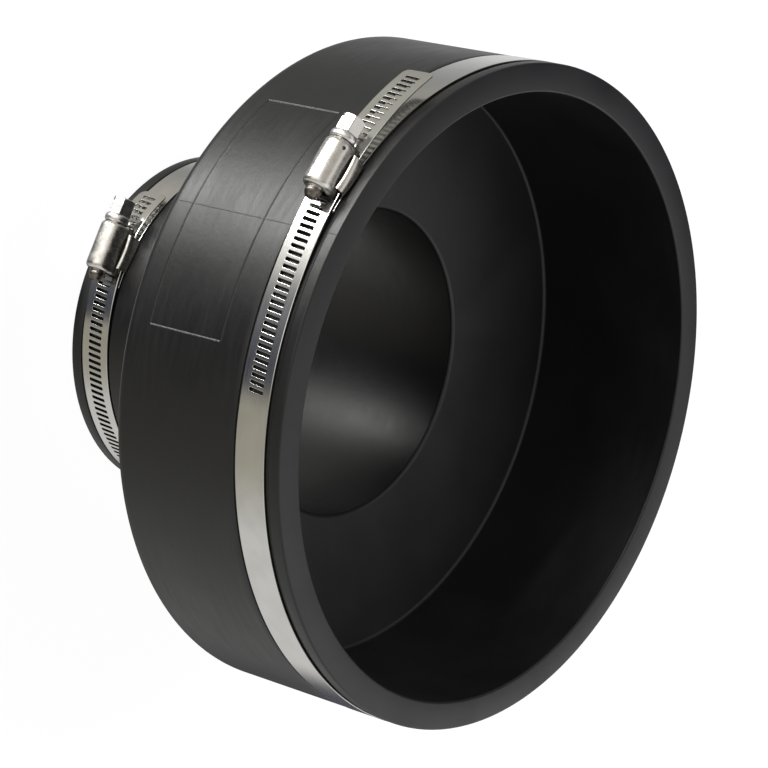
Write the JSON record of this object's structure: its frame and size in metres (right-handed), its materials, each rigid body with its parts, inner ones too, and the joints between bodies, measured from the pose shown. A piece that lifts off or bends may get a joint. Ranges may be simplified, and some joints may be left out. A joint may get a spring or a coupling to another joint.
{
  "type": "flexible pipe reducer coupling",
  "caption": "Moulded rubber reducing sleeve that joins a large pipe to a small one, with a worm-drive band clamp on each socket.",
  "frame": {"origin": "centre of the small end's flat annular face, on the sleeve's axis", "axes": "+Z along the sleeve's axis from the small end to the large mouth; the large clamp's housing is 45.8 degrees from +X towards +Y"},
  "size_m": [0.2396, 0.2396, 0.1524],
  "materials": {
    "black_rubber": "satin",
    "stainless_steel": "bright rolled",
    "bright_screw_steel": "bright"
  },
  "bodies": {
    "sleeve": {"rubber_sleeve": "black_rubber"},
    "large_clamp": {"large_band": "stainless_steel", "large_saddle": "stainless_steel", "large_housing": "stainless_steel"},
    "large_screw": {"large_screw": "bright_screw_steel"},
    "small_clamp": {"small_band": "stainless_steel", "small_saddle": "stainless_steel", "small_housing": "stainless_steel"},
    "small_screw": {"small_screw": "bright_screw_steel"}
  },
  "joints": [
    {"name": "large_clamp_turn", "type": "hinge", "parent": "sleeve", "child": "large_clamp", "pos_m": [0, 0, 0.1396], "axis": [0, 0, 1], "continuous": true},
    {"name": "large_screw_turn", "type": "hinge", "parent": "large_clamp", "child": "large_screw", "pos_m": [0.08805, 0.09109, 0.1396], "axis": [-0.7743, 0.6328, 0], "continuous": true},
    {"name": "small_clamp_turn", "type": "hinge", "parent": "sleeve", "child": "small_clamp", "pos_m": [0, 0, 0.0122], "axis": [0, 0, 1], "continuous": true},
    {"name": "small_screw_turn", "type": "hinge", "parent": "small_clamp", "child": "small_screw", "pos_m": [0.03631, 0.06076, 0.0122], "axis": [-0.9003, 0.4352, 0], "continuous": true}
  ]
}
